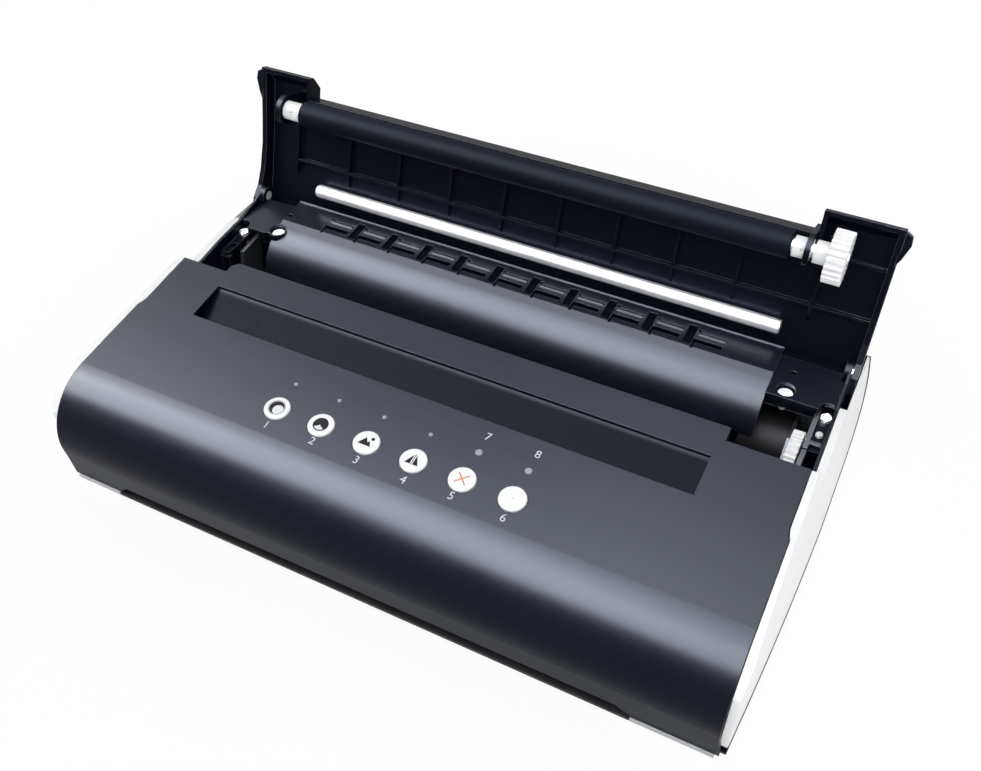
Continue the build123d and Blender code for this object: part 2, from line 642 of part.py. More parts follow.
with BuildPart() as exit_gear:
    gear(EXIT_AXIS, SCAN_TEETH, SCAN_MODULE, EXIT_PHASE, SCAN_GEAR_X)
    bar(EXIT_AXIS, SHAFT_R, (-155, -140), Mode.SUBTRACT)
finish(exit_gear, "exit_gear")

with BuildPart() as scan_idler_gear:
    gear(SCAN_IDLER, IDLER_TEETH, SCAN_MODULE, SCAN_IDLER_PHASE, SCAN_GEAR_X)
    bar(SCAN_IDLER, 2.0 + RUN, (-155, -140), Mode.SUBTRACT)
finish(scan_idler_gear, "scan_idler_gear")

with BuildPart() as scan_idler_pin:
    bar(SCAN_IDLER, 2.0, (-150.4, SCAN_FRAME_X[0] + 1.4))
finish(scan_idler_pin, "scan_idler_pin")

with BuildPart() as scan_motor:
    bar(SCAN_MOTOR, 11.0, (SCAN_FRAME_X[0] + 1.4, -130.6))
    bar(SCAN_MOTOR, 3.6, (SCAN_FRAME_X[0] + 0.2, SCAN_FRAME_X[0] + 1.4))
    bar(SCAN_MOTOR, 1.5 + RUN, (-150, -133), Mode.SUBTRACT)
finish(scan_motor, "scan_motor")

with BuildPart() as scan_motor_pinion:
    gear(SCAN_MOTOR, PINION_TEETH, SCAN_MODULE, SCAN_PINION_PHASE, SCAN_GEAR_X)
    bar(SCAN_MOTOR, 1.5, (SCAN_GEAR_X[0], -134))
finish(scan_motor_pinion, "scan_motor_pinion")

with BuildPart() as pinch_rollers:
    bar(PINCH_AXIS, 1.5, (-143, 132))
    for x in PINCH_X:
        bar(PINCH_AXIS, 3.0, (x - 10, x + 10))
finish(pinch_rollers, "pinch_rollers")

# ---------------------------------------------------------------------------
# Thermal head on its springs, under the platen roller
# ---------------------------------------------------------------------------
HEAD_TOP = PLATEN[1] - PLATEN_R - HEAD_GAP
with BuildPart() as thermal_head:
    brick((HEAD_X[0] + 2, HEAD_X[1] - 2), (103, 129), (33.3, HEAD_TOP - 0.2))
    brick((HEAD_X[0] + 3, HEAD_X[1] - 3), (PLATEN[0] - 1.2, PLATEN[0] + 1.2), (33.3, HEAD_TOP))
finish(thermal_head, "thermal_head")

with BuildPart() as head_heatsink:
    brick(HEAD_X, (100, 130), (25, 33.3))
    for row in range(6):
        brick((HEAD_X[0] - 1, HEAD_X[1] + 1), (102 + 4.6 * row, 104.2 + 4.6 * row), (28.5, 31.0), Mode.SUBTRACT)
    for x in HEAD_PIN_X:
        post(x, 115, 2.0 + RUN, (20, 32), Mode.SUBTRACT)
finish(head_heatsink, "head_heatsink")

with BuildPart() as head_pins:
    for x in HEAD_PIN_X:
        post(x, 115, 2.0, (10.0, 29.5))
finish(head_pins, "head_pins")

with BuildPart() as head_springs:
    for x in SPRING_X:
        post(x, 115, 3.4, (9.6, 25.0))
        post(x, 115, 2.4, (9.0, 26.0), Mode.SUBTRACT)
finish(head_springs, "head_springs")

# ---------------------------------------------------------------------------
# Side frames, drive gear and platen motor
# ---------------------------------------------------------------------------
FRAME_SHAPE = [(99, -0.2), (146, -0.2), (146, 26), (148.4, 36), (148.4, 46.2), (104, 44.4), (99, 40)]
FRAME_TAB_Y = (125.4, 127.6)   # short foot bent out over the casing's shelf
FRAME_TAB_Z = (SHELF_Z + 0.1, SHELF_Z + 1.3)
with BuildPart() as right_frame_plate:
    slab(FRAME_SHAPE, FRAME_X)
    brick((FRAME_X[1], 156.4), FRAME_TAB_Y, FRAME_TAB_Z)
    bar(IDLER, 2.0, FRAME_X, Mode.SUBTRACT)
    slab([(118, 60), (118, 43.6), (123, 43.6), (123, 60)], FRAME_X, Mode.SUBTRACT)
    slab([(108, 6), (132, 6), (132, 12), (108, 12)], FRAME_X, Mode.SUBTRACT)
finish(right_frame_plate, "right_frame_plate")

LOW_FRAME_SHAPE = [
    (99, -0.2), (146, -0.2), (146, 26), (148.4, 36), (148.4, 41.5), (133.5, 40.5), (131, 30), (99, 28),
]
with BuildPart() as left_frame_plate:
    slab(LOW_FRAME_SHAPE, (-FRAME_X[1], -FRAME_X[0]))
    slab([(108, 6), (128, 6), (128, 22), (108, 22)], (-FRAME_X[1], -FRAME_X[0]), Mode.SUBTRACT)
finish(left_frame_plate, "left_frame_plate")

GEAR_X = (134.8, 142.7)
DISC_X = (143.6, 148.6)
with BuildPart() as drive_gear:
    gear(IDLER, DISC_TEETH, MODULE, HUB_PHASE, DISC_X)
    gear(IDLER, HUB_TEETH, MODULE, HUB_PHASE, (GEAR_X[0] - 0.2, DISC_X[0]))
    bar(IDLER, 2.0 + RUN, (130, 150), Mode.SUBTRACT)
finish(drive_gear, "drive_gear")

with BuildPart() as drive_gear_pin:
    bar(IDLER, 2.0, (133.6, FRAME_X[1]))
finish(drive_gear_pin, "drive_gear_pin")

with BuildPart() as motor_bracket:
    foot = [(130.5, -0.2), (149.5, -0.2), (163, 2.8), (163, 21)]
    slab(foot + [(155, 28.5), (149, 31.4), (138, 31.4), (130.5, 24)], (141.2, 142.9))
    bar(MOTOR, 5.0, (140, 144), Mode.SUBTRACT)
    brick((142.9, 149.0), (130.5, 149.5), (-0.2, 1.2))
finish(motor_bracket, "motor_bracket")

with BuildPart() as platen_motor:
    bar(MOTOR, 14.8, (120.4, 141.2))
    bar(MOTOR, 4.6, (141.2, 142.6))
    bar(MOTOR, 1.5 + RUN, (124, 145), Mode.SUBTRACT)
finish(platen_motor, "platen_motor")

with BuildPart() as platen_motor_pinion:
    gear(MOTOR, PINION_TEETH, MODULE, PINION_PHASE, (DISC_X[0] - 0.2, DISC_X[1]))
    bar(MOTOR, 1.5, (125, DISC_X[1]))
finish(platen_motor_pinion, "platen_motor_pinion")

# ---------------------------------------------------------------------------
# Rear deck: rounded nose bar, row of windows, end plates
# ---------------------------------------------------------------------------
def deck_region(inset):
    """Everything under the deck's nose and top."""
    with BuildSketch(SIDE) as region:
        with BuildLine():
            Polyline((174, 28), (131.8 + inset, 28), (131.8 + inset, 32.5))
            ThreePointArc(
                (131.8 + inset, 32.5), (138.5 + 0.7 * inset, 44.2 - 0.7 * inset), (149.5, 50.8 - inset)
            )
            Polyline((149.5, 50.8 - inset), (154, 52.1 - inset), (174, 52.6 - inset), (174, 28))
        make_face()
    return region.sketch


TROUGH_R = (23.1, 24.6)        # curved wall under the lid's back, about the hinge
TROUGH_TURN = (-142, -90, -37.4)
TROUGH_HALF = 156.5
TROUGH_FRONT_HALF = 148.7      # narrower in front, between the side frames

with BuildPart() as trough:
    with BuildSketch(SIDE.offset(-TROUGH_HALF)) as wall:
        with Locations(HINGE):
            Circle(TROUGH_R[1])
            Circle(TROUGH_R[0], mode=Mode.SUBTRACT)
        with BuildLine():
            Polyline(HINGE, *[polar(HINGE, 60, turn) for turn in TROUGH_TURN], close=True)
        make_face(mode=Mode.INTERSECT)
    extrude(wall.sketch, amount=2 * TROUGH_HALF)
    for x in ((-160, -TROUGH_FRONT_HALF), (TROUGH_FRONT_HALF, 160)):
        brick(x, (140, 150.8), (20, 48.5), Mode.SUBTRACT)
    brick((-TROUGH_FRONT_HALF, TROUGH_FRONT_HALF), (148.8, 150.3), (37.4, 50.0))
    brick((POCKET_X[0] - 2.4, POCKET_X[1] + 2.4), (170.6, 200), (20, 60), Mode.SUBTRACT)

PLATE_BACK = [(DECK_HALF, 141.6), (DECK_HALF, 161.8), (154.5, 161.8), (154.5, 166.6), (127, 168)]
RIGHT_END_PLATE = [(127, 141.6)] + PLATE_BACK
LEFT_END_PLATE = [(-127, 150), (-131, 150), (-136.5, 143), (-140, 141.6)] + [(-x, y) for x, y in PLATE_BACK]
DECK_SCREWS = [(-134.8, 147.0), (134.8, 147.0)]

with BuildPart() as rear_deck:
    carry(deck_region(0), NOSE_X)
    carry(deck_region(LID_WALL), (NOSE_X[0] - 1, NOSE_X[1] + 1), Mode.SUBTRACT)
    brick((-170, 170), (150, 180), (20, 48), Mode.SUBTRACT)
    brick((-170, 170), (171.6, 180), (20, 60), Mode.SUBTRACT)
    brick((-170, 170), (120, 150), (20, 31.5), Mode.SUBTRACT)
    for plate in (LEFT_END_PLATE, RIGHT_END_PLATE):
        prism(plate, (DECK_Z - LID_WALL, DECK_Z))
    brick(NOSE_X, (169.8, 171.6), (46.6, 52.2))
    bar((170.7, 52.2), 0.9, NOSE_X)
    add(trough.part)
    for x, y in DECK_SCREWS:
        post(x, y, 5.2, (44.8, DECK_Z - 0.5))
        post(x, y, 4.2, (46.4, 60), Mode.SUBTRACT)
        post(x, y, 1.5, (38, 50), Mode.SUBTRACT)
        brick((x - 1.5, x + 1.5), (157.4, 159.4), (40, 60), Mode.SUBTRACT)
    for sign in (-1, 1):
        post(sign * SHELF_SCREW[0], SHELF_SCREW[1], 4.0, (40, 60), Mode.SUBTRACT)
        brick((sign * 150.5 - 1.9, sign * 150.5 + 1.9), (138, 151.4), (40, 50.2), Mode.SUBTRACT)
    for number in range(WINDOWS):
        x = PATH_X + WINDOW_PITCH * (number - (WINDOWS - 1) / 2)
        brick((x - 7.6, x + 5.9), (157.1, 159.7), (40, 60), Mode.SUBTRACT)
        brick((x - 7.6, x - 6.4), (153.4, 157.2), (51.2, 60), Mode.SUBTRACT)
        slab([(159.9, 51.6), (163.0, 51.6), (163.0, 52.8)], (x - 6.4, x + 6.4))
        brick((x - 6.6, x + 6.8), (163.2, 164.2), (51.3, 60), Mode.SUBTRACT)
        brick((x - 7.4, x - 5.8), (164.4, 166.0), (40, 60), Mode.SUBTRACT)
    for number in range(WINDOWS - 1):
        x = PATH_X + WINDOW_PITCH * (number - (WINDOWS - 2) / 2)
        brick((x - 2.1, x + 2.1), (155.4, 167.6), (51.2, 60), Mode.SUBTRACT)
finish(rear_deck, "rear_deck")

with BuildPart() as deck_screws:
    for x, y in DECK_SCREWS:
        screw(x, y, 50.2 - 1.8, shank=7.0)
finish(deck_screws, "deck_screws")

with BuildPart() as frame_screws:
    for sign in (-1, 1):
        screw(sign * SHELF_SCREW[0], SHELF_SCREW[1], SHELF_Z + 2.0, head_r=2.3, shank=5.0)
finish(frame_screws, "frame_screws")

with BuildPart() as lid_switch_pin:
    post(SWITCH_PIN[0], SWITCH_PIN[1], 1.6, (33.8, SHELF_Z + 1.6))
    fillet(lid_switch_pin.edges().sort_by(Axis.Z)[-1:], 0.8)
finish(lid_switch_pin, "lid_switch_pin")

with BuildPart() as lid_switch:
    brick((152.3, 156.8), (128, 137), (24, 32.0))
finish(lid_switch, "lid_switch")

with BuildPart() as hinge_pins:
    for x in ((LUG_X, LID_HALF), (-LID_HALF, -LUG_X)):
        bar(HINGE, PIN_R, x)
finish(hinge_pins, "hinge_pins")

# ---------------------------------------------------------------------------
# Boards, mains inlet and power switch
# ---------------------------------------------------------------------------
with BuildPart() as main_board:
    brick((-100, 100), (50, 96), (5.8, 7.4))
    for x, y, width, depth, height in [
        (-40, 74, 18, 18, 1.6), (10, 78, 12, 9, 1.4), (60, 70, 9, 9, 9), (-78, 86, 22, 6, 7), (82, 88, 20, 6, 7)
    ]:
        brick((x - width / 2, x + width / 2), (y - depth / 2, y + depth / 2), (7.4, 7.4 + height))
finish(main_board, "main_board")

with BuildPart() as power_board:
    brick((-70, 60), (134, 166), (4.0, 5.6))
    brick((-30, 2), (138, 162), (5.6, 24))
    for x in (22, 38):
        post(x, 148, 6.0, (5.6, 22))
    brick((-60, -42), (140, 158), (5.6, 18))
finish(power_board, "power_board")

with BuildPart() as power_inlet:
    brick((INLET_X - 13, INLET_X + 13), (POCKET_Y, POCKET_Y + 1.6), (8.6, 25.4))
    brick((INLET_X - 10.3, INLET_X + 10.3), (158, POCKET_Y), (10.7, 23.3))
    for x in (INLET_X - 4.3, INLET_X + 4.3):
        with BuildSketch(FRONT.offset(-162.5)) as socket:
            with Locations((x, 17)):
                Circle(3.5)
        extrude(socket.sketch, amount=-20, mode=Mode.SUBTRACT)
    brick((INLET_X - 4.3, INLET_X + 4.3), (162.5, 180), (13.7, 20.3), Mode.SUBTRACT)
    for x in (INLET_X - 4.3, INLET_X + 4.3):
        with BuildSketch(FRONT.offset(-162.5)) as contact:
            with Locations((x, 17)):
                Circle(1.2)
        extrude(contact.sketch, amount=-9)
finish(power_inlet, "power_inlet")

with BuildPart() as switch_bezel:
    brick((SWITCH_X - 8, SWITCH_X + 8), (POCKET_Y, POCKET_Y + 1.6), (SWITCH_Z - 10, SWITCH_Z + 10))
    brick((SWITCH_X - 6.6, SWITCH_X + 6.6), (158, POCKET_Y), (SWITCH_Z - 8.8, SWITCH_Z + 8.8))
    brick((SWITCH_X - 5.5, SWITCH_X + 5.5), (164, 180), (SWITCH_Z - 8.1, SWITCH_Z + 8.1), Mode.SUBTRACT)
finish(switch_bezel, "switch_bezel")

ROCKER_PIVOT = (171.0, SWITCH_Z)
with BuildPart() as power_rocker:
    shape = [(-3.5, -4.5), (-3.5, 4.5), (1.2, 7.3), (5.0, 7.3), (3.6, 0), (5.0, -7.3), (1.2, -7.3)]
    turned = [polar(ROCKER_PIVOT, math.hypot(*p), bearing((0, 0), p) + ROCKER_TILT) for p in shape]
    slab(turned, (SWITCH_X - 5.2, SWITCH_X + 5.2))
finish(power_rocker, "power_rocker")

# ---------------------------------------------------------------------------
# Lid and what rides in it, drawn shut and turned open when written
# ---------------------------------------------------------------------------
RIB_X = [-141.4] + [-109.4 + 29.55 * k for k in range(8)] + [132.6]
ARMS = ((-141.4, -138.6), (125.2, 127.6))

ROD = (158.6, 56.1)
ROD_R = 3.4
ROD_X = (-127.0, 122.6)

with BuildPart() as lid_ribs:
    for x in RIB_X:
        slab([(NOTCH_Y + 1, 56.2), (150, 57.0), (155.6, 62), (NOTCH_Y + 1, 62)], (x - 0.7, x + 0.7))
    slab([(144.9, 57.0), (146.3, 57.0), (146.3, 62), (144.9, 62)], (RIB_X[0], LID_IN))
    slab([(120.8, 56.6), (122.2, 56.6), (122.2, 62), (120.8, 62)], (138, LID_IN))
    for x in (-112, -44, 24, 92):
        brick((x - 1.5, x + 1.5), (157.2, 160.0), (58.7, 61.5))
    carry(lid_region(0.6), (-LID_IN, LID_IN), Mode.INTERSECT)

with BuildPart() as lid_shell:
    carry(lid_region(0), (-LID_HALF, LID_HALF))
    carry(lid_region(LID_WALL), (-LID_IN, LID_IN), Mode.SUBTRACT)
    slab(LID_BELOW, (-170, 170), Mode.SUBTRACT)
    brick(EAR_X, (90, NOTCH_Y), (30, 80), Mode.SUBTRACT)
    brick((EAR_X[0] - 2, EAR_X[1] + 2), (NOTCH_Y, NOTCH_Y + 1.9), (50.7, 58.6))
    for x in ((EAR_X[0] - 2, EAR_X[0]), (EAR_X[1], EAR_X[1] + 2)):
        ear_edge = [(LID_FRONT, 50.2), (NOTCH_Y + 1.9, 50.7), (NOTCH_Y + 1.9, 58.8), (106.6, 58.6)]
        slab(ear_edge + [(LID_FRONT + 0.4, 52.8), (LID_FRONT, 52.4)], x)
    add(lid_ribs.part)
    for x in ARMS:
        bar(PLATEN, BUSH_R + 2.6, x)
        brick(x, (PLATEN[0] - BUSH_R - 2.6, PLATEN[0] + BUSH_R + 2.6), (PLATEN[1], 59.6))
        bar(PLATEN, BUSH_R, x, Mode.SUBTRACT)
    bar(ROD, ROD_R, (ROD_X[0], ROD_X[1] + 0.4), Mode.SUBTRACT)
    for sign in (-1, 1):
        grip = [(160.6, 101.4), (164.2, 103.4), (164.6, 107.0), (162.6, 113.0), (160.6, 117.0)]
        prism([(sign * x, y) for x, y in grip], (50.6, 54.0))
    bar(HINGE, PIN_R + RUN, (-170, 170), Mode.SUBTRACT)
finish(lid_shell, "lid_shell", on_lid=True)

with BuildPart() as platen_rubber:
    bar(PLATEN, PLATEN_R, (-128.6, 119.2))
    bar(PLATEN, SHAFT_R, (-130, 125), Mode.SUBTRACT)
    fillet(platen_rubber.edges().filter_by(GeomType.CIRCLE).group_by(SortBy.RADIUS)[-1], 0.5)
finish(platen_rubber, "platen_rubber", on_lid=True)

with BuildPart() as platen_shaft:
    bar(PLATEN, SHAFT_R, (-142.2, 143.0))
finish(platen_shaft, "platen_shaft", on_lid=True)

for name, x in (("left_bush", (-141.6, -130.7)), ("right_bush", (119.9, 127.6))):
    with BuildPart() as bush:
        bar(PLATEN, BUSH_R, x)
        bar(PLATEN, SHAFT_R + RUN, (-150, 150), Mode.SUBTRACT)
        brick((x[1] - 4.2, x[1] + 1), (PLATEN[0] - 0.5, PLATEN[0] + 0.5), (30, PLATEN[1]), Mode.SUBTRACT)
    finish(bush, name, on_lid=True)

with BuildPart() as platen_gear:
    bar(PLATEN, 5.0, (129.0, GEAR_X[0]))
    gear(PLATEN, PLATEN_TEETH, MODULE, PLATEN_PHASE, GEAR_X)
    bar(PLATEN, SHAFT_R, (120, 150), Mode.SUBTRACT)
finish(platen_gear, "platen_gear", on_lid=True)

with BuildPart() as guide_rod:
    bar(ROD, ROD_R, ROD_X)
    fillet(guide_rod.edges().sort_by(Axis.X)[:1], 2.4)
    fillet(guide_rod.edges().sort_by(Axis.X)[-1:], 0.6)
finish(guide_rod, "guide_rod", on_lid=True)

CLIP_X = (120.2, 122.2)
with BuildPart() as rod_clip:
    bar(ROD, ROD_R + 0.55, CLIP_X)
    brick(CLIP_X, (ROD[0] - 2.0, ROD[0] + 2.0), (59.2, 60.0))
    bar(ROD, ROD_R, (110, 125), Mode.SUBTRACT)
    brick(CLIP_X, (ROD[0] - 5, ROD[0] + 5), (50, ROD[1] - 0.6), Mode.SUBTRACT)
finish(rod_clip, "rod_clip", on_lid=True)
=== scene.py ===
import json
import math

import bmesh
import bpy
from bpy.props import FloatProperty, FloatVectorProperty, PointerProperty
from mathutils import Matrix, Vector


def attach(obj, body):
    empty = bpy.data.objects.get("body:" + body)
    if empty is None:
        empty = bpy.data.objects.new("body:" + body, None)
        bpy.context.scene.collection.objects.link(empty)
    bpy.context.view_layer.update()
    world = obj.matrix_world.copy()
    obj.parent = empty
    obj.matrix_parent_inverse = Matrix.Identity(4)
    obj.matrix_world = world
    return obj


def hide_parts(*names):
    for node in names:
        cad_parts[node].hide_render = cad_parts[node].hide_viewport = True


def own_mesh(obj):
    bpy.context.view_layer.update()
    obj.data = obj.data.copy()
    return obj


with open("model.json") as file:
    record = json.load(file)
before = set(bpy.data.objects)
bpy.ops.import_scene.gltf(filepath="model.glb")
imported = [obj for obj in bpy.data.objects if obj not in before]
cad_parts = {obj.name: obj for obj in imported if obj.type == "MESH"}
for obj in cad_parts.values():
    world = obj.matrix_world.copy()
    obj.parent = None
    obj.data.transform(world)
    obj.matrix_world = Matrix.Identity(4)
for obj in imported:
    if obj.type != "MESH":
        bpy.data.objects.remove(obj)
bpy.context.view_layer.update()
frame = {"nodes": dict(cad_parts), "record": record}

bl_info = {
    "name": "Thermal stencil copier",
    "version": (1, 0, 0),
    "blender": (4, 5, 0),
    "location": "View3D > Sidebar > Copier",
    "description": "Finishes, prints and small pieces of a desktop thermal stencil copier",
    "category": "Object",
}

MM = 0.001
FRONT_Y = -99.0 * MM           # the cover's bottom front corner, from the row's origin
FOOT_Z = 4.0 * MM
PHOTO_SIZE = (981, 771)


# ---------------------------------------------------------------------------
# Shader maths
# ---------------------------------------------------------------------------
class Maths:
    """A number in a shader. Sums and products of these add the Math nodes that work them out."""

    def __init__(self, finish, socket):
        self.finish = finish
        self.socket = socket

    def __add__(self, other):
        return self.finish.maths("ADD", self, other)

    def __sub__(self, other):
        return self.finish.maths("SUBTRACT", self, other)

    def __rsub__(self, other):
        return self.finish.maths("SUBTRACT", other, self)

    def __mul__(self, other):
        return self.finish.maths("MULTIPLY", self, other)

    __radd__ = __add__
    __rmul__ = __mul__


class Finish:
    """A new material, and the one way in which nodes are added to it."""

    def __init__(self, name, colour, roughness, metallic=0.0):
        self.material = bpy.data.materials.new(name)
        self.material.use_nodes = True
        self.tree = self.material.node_tree
        self.shader = self.tree.nodes["Principled BSDF"]
        self.set("Base Color", colour)
        self.set("Roughness", roughness)
        self.set("Metallic", metallic)

    def plug(self, socket, value):
        """Links or sets one input."""
        if isinstance(value, Maths):
            value = value.socket
        if isinstance(value, bpy.types.NodeSocket):
            self.tree.links.new(value, socket)
        elif isinstance(value, (tuple, list)) and len(value) == 3 and len(socket.default_value) == 4:
            socket.default_value = (*value, 1.0)
        else:
            socket.default_value = value

    def node(self, kind, settings=None, **inputs):
        """Adds a node: its settings or a ramp's stops first, then its inputs, named by label or number."""
        made = self.tree.nodes.new(kind)
        for key, value in (settings or {}).items():
            if key == "stops":
                ramp = made.color_ramp
                while len(ramp.elements) < len(value):
                    ramp.elements.new(0.5)
                for element, (place, shade) in zip(ramp.elements, value):
                    element.position = place
                    element.color = (shade, shade, shade, 1.0)
            else:
                setattr(made, key, value)
        for key, value in inputs.items():
            label = key[1:] if key.startswith("_") else key.replace("_", " ")
            self.plug(made.inputs[int(label) if label.isdigit() else label], value)
        return made

    def maths(self, operation, first, second):
        made = self.node("ShaderNodeMath", {"operation": operation}, _0=first, _1=second)
        return Maths(self, made.outputs[0])

    def place(self, stretch=(1.0, 1.0, 1.0)):
        """Object coordinates, stretched along the axes."""
        where = self.node("ShaderNodeTexCoord").outputs["Object"]
        return self.node("ShaderNodeMapping", Vector=where, Scale=stretch).outputs[0]

    def noise(self, size, detail=3.0, stretch=(1.0, 1.0, 1.0)):
        """Cloudy noise from 0 to 1 with lumps of a size in metres."""
        made = self.node("ShaderNodeTexNoise", Vector=self.place(stretch), Scale=1.0 / size, Detail=detail)
        return Maths(self, made.outputs["Fac"])

    def ramp(self, value, low, high):
        """0 below low and 1 above high."""
        made = self.node("ShaderNodeMapRange", Value=value, From_Min=low, From_Max=high)
        return Maths(self, made.outputs["Result"])

    def mix(self, factor, first, second):
        """Colour between two others."""
        made = self.node("ShaderNodeMix", {"data_type": "RGBA"}, Factor=factor)
        self.plug(made.inputs[6], first)
        self.plug(made.inputs[7], second)
        return made.outputs[2]

    def rounded(self):
        """Normals that run smoothly round edges, as if these had a small radius."""
        return self.node("ShaderNodeBevel", {"samples": 4}, Radius=SETTINGS.edge_width).outputs["Normal"]

    def edges(self):
        """1 along edges and 0 on plain faces."""
        plain = self.node("ShaderNodeNewGeometry").outputs["True Normal"]
        made = self.node("ShaderNodeVectorMath", {"operation": "DOT_PRODUCT"}, _0=self.rounded(), _1=plain)
        return self.ramp(1 - Maths(self, made.outputs["Value"]), 0.015, 0.2)

    def bump(self, height, depth, strength=1.0):
        """Bump of a real depth in metres, over rounded edges."""
        made = self.node(
            "ShaderNodeBump", Height=height, Distance=depth, Strength=strength, Normal=self.rounded()
        )
        self.plug(self.shader.inputs["Normal"], made.outputs["Normal"])

    def set(self, label, value):
        self.plug(self.shader.inputs[label], value)


def moulded(name, colour, roughness, grain=0.00035, depth=0.000008, mottling=0.06, edge=0.0, recess_shade=None):
    """Moulded plastic: a fine eroded grain, faint clouding, rub marks in its gloss, a painted highlight along its
    edges and, where asked, painted shade down in recesses.
    """
    finish = Finish(name, colour, roughness)
    clouds = finish.noise(0.04, 4.0)
    lighter = tuple(min(1.0, part * (1 + mottling * 2)) for part in colour)
    darker = tuple(part * (1 - mottling * 2) for part in colour)
    shade = finish.mix(clouds, darker, lighter)
    if edge:
        # Painted highlight: the edges are painted a pale grey, as if they caught the light.
        amount = edge(finish) if callable(edge) else edge
        shade = finish.mix(amount * finish.edges(), shade, (0.3, 0.32, 0.36))
    if recess_shade:
        # Painted shade: down in the recesses the plastic is mixed with a dark diffuse copy of its colour.
        shade_mask = recess_shade(finish)
        painted_shade = finish.node("ShaderNodeBsdfDiffuse", Color=tuple(part * 0.3 for part in colour)).outputs[0]
        both = finish.node("ShaderNodeMixShader", _0=0.92 * shade_mask, _1=finish.shader.outputs[0], _2=painted_shade)
        finish.plug(finish.tree.nodes["Material Output"].inputs["Surface"], both.outputs[0])
    finish.set("Base Color", shade)
    finish.set("Roughness", roughness - 0.04 + 0.08 * finish.noise(0.012, 6.0, (1.0, 3.0, 3.0)))
    finish.bump(finish.noise(grain, 2.0), depth)
    return finish


def hollows(finish):
    """Where shade is painted: 1 down in the document slot and in the rear deck's recesses, 0 on the outer skin."""
    where = finish.node("ShaderNodeSeparateXYZ", Vector=finish.place())
    across = finish.maths("ABSOLUTE", Maths(finish, where.outputs["X"]) + 4.5 * MM, 0.0)
    along = Maths(finish, where.outputs["Y"]) - FRONT_Y
    height = Maths(finish, where.outputs["Z"]) - FOOT_Z
    under_top = (along - TOP_START[0] * MM) * math.tan(SLOPE) + TOP_START[1] * MM - height
    slot = finish.ramp(under_top, 0.7 * MM, 2.2 * MM)
    slot *= finish.ramp(along, 69.6 * MM, 70.0 * MM) * finish.ramp(along, 92.4 * MM, 92.0 * MM)
    under_deck = (along - 154.0 * MM) * 0.025 + 52.1 * MM - height
    deck = finish.ramp(under_deck, 0.35 * MM, 0.7 * MM)
    deck *= finish.ramp(along, 152.8 * MM, 153.2 * MM) * finish.ramp(across, 131.8 * MM, 131.4 * MM)
    return slot + deck


def slate_plastic():
    # Painted highlight on the edges, and painted shade in the document slot and the rear deck's recesses.
    finish = moulded(
        "slate_plastic", SETTINGS.slate_colour[:], 0.3, mottling=0.03, edge=0.22, recess_shade=hollows
    )
    finish.set("Specular IOR Level", 0.06)
    finish.set("Specular Tint", (0.84, 0.89, 1.0))
    return finish.material


def side_edges(finish):
    """How strong the painted edge highlight is: bright along the machine's two sides, hardly at all between them."""
    where = finish.node("ShaderNodeSeparateXYZ", Vector=finish.place())
    across = finish.maths("ABSOLUTE", Maths(finish, where.outputs["X"]), 0.0)
    return 0.03 + 0.35 * finish.ramp(across, 150.0 * MM, 153.0 * MM)


def navy_plastic():
    # Painted highlight on the edges, strong along the two sides.
    finish = moulded("navy_plastic", (0.0024, 0.003, 0.0068), 0.32, grain=0.0006, mottling=0.12, edge=side_edges)
    finish.set("Specular IOR Level", 0.035)
    finish.set("Specular Tint", (0.75, 0.85, 1.0))
    return finish.material


def white_plastic():
    finish = moulded("white_plastic", (0.84, 0.845, 0.855), 0.3, depth=0.000001, mottling=0.008)
    finish.set("Specular IOR Level", 0.03)
    return finish.material


def lip_plastic():
    finish = moulded("lip_plastic", (0.42, 0.43, 0.45), 0.42)
    finish.set("Specular IOR Level", 0.04)
    return finish.material


def pale_gear():
    finish = moulded("pale_gear", (0.74, 0.74, 0.71), 0.34, mottling=0.02)
    finish.set("Specular IOR Level", 0.04)
    return finish.material


def black_plastic():
    finish = moulded("black_plastic", (0.006, 0.006, 0.008), 0.42)
    finish.set("Specular IOR Level", 0.06)
    return finish.material


def roller_rubber():
    """Ground rubber: fine rings round the roller from the grinding wheel, and a dusty bloom."""
    finish = Finish("roller_rubber", (0.006, 0.007, 0.012), 0.5)
    finish.set("Specular IOR Level", 0.01)
    finish.set("Specular Tint", (0.8, 0.9, 1.0))
    bloom = finish.noise(0.03, 5.0, (0.3, 1.0, 1.0))
    finish.set("Base Color", finish.mix(finish.ramp(bloom, 0.35, 0.75), (0.004, 0.005, 0.009), (0.007, 0.009, 0.015)))
    rings = finish.noise(0.0004, 2.0, (1.0, 0.05, 0.05))
    finish.set("Roughness", 0.46 + 0.16 * rings)
    finish.bump(rings + 0.6 * finish.noise(0.0002, 2.0), 0.00002)
    return finish.material


def metal(name, colour, roughness, stretch, scratch=0.00025, depth=0.000002, metallic=1.0, specular=0.1):
    """Bare metal with drawing or rolling lines along one axis and faint stains."""
    finish = Finish(name, colour, roughness, metallic)
    lines = finish.noise(scratch, 3.0, stretch)
    stains = finish.noise(0.02, 5.0)
    dark = tuple(part * 0.82 for part in colour)
    finish.set("Base Color", finish.mix(finish.ramp(stains, 0.35, 0.7), dark, colour))
    finish.set("Roughness", roughness - 0.05 + 0.12 * lines + 0.06 * stains)
    finish.set("Specular IOR Level", specular)
    finish.bump(lines, depth)
    return finish.material


def bright_steel():
    return metal("bright_steel", (0.84, 0.85, 0.87), 0.26, (0.04, 1.0, 1.0), depth=0.0000002, metallic=0.65)


def sheet_steel():
    return metal("sheet_steel", (0.03, 0.032, 0.038), 0.4, (1.0, 0.04, 1.0), metallic=0.5)


def motor_metal():
    return metal("motor_metal", (0.005, 0.005, 0.006), 0.5, (1.0, 1.0, 0.05), metallic=0.1, specular=0.02)


def brass_pinion():
    return metal("brass_pinion", (0.78, 0.6, 0.28), 0.26, (1.0, 0.1, 1.0))


def head_aluminium():
    return metal("head_aluminium", (0.78, 0.79, 0.8), 0.34, (0.03, 1.0, 1.0))


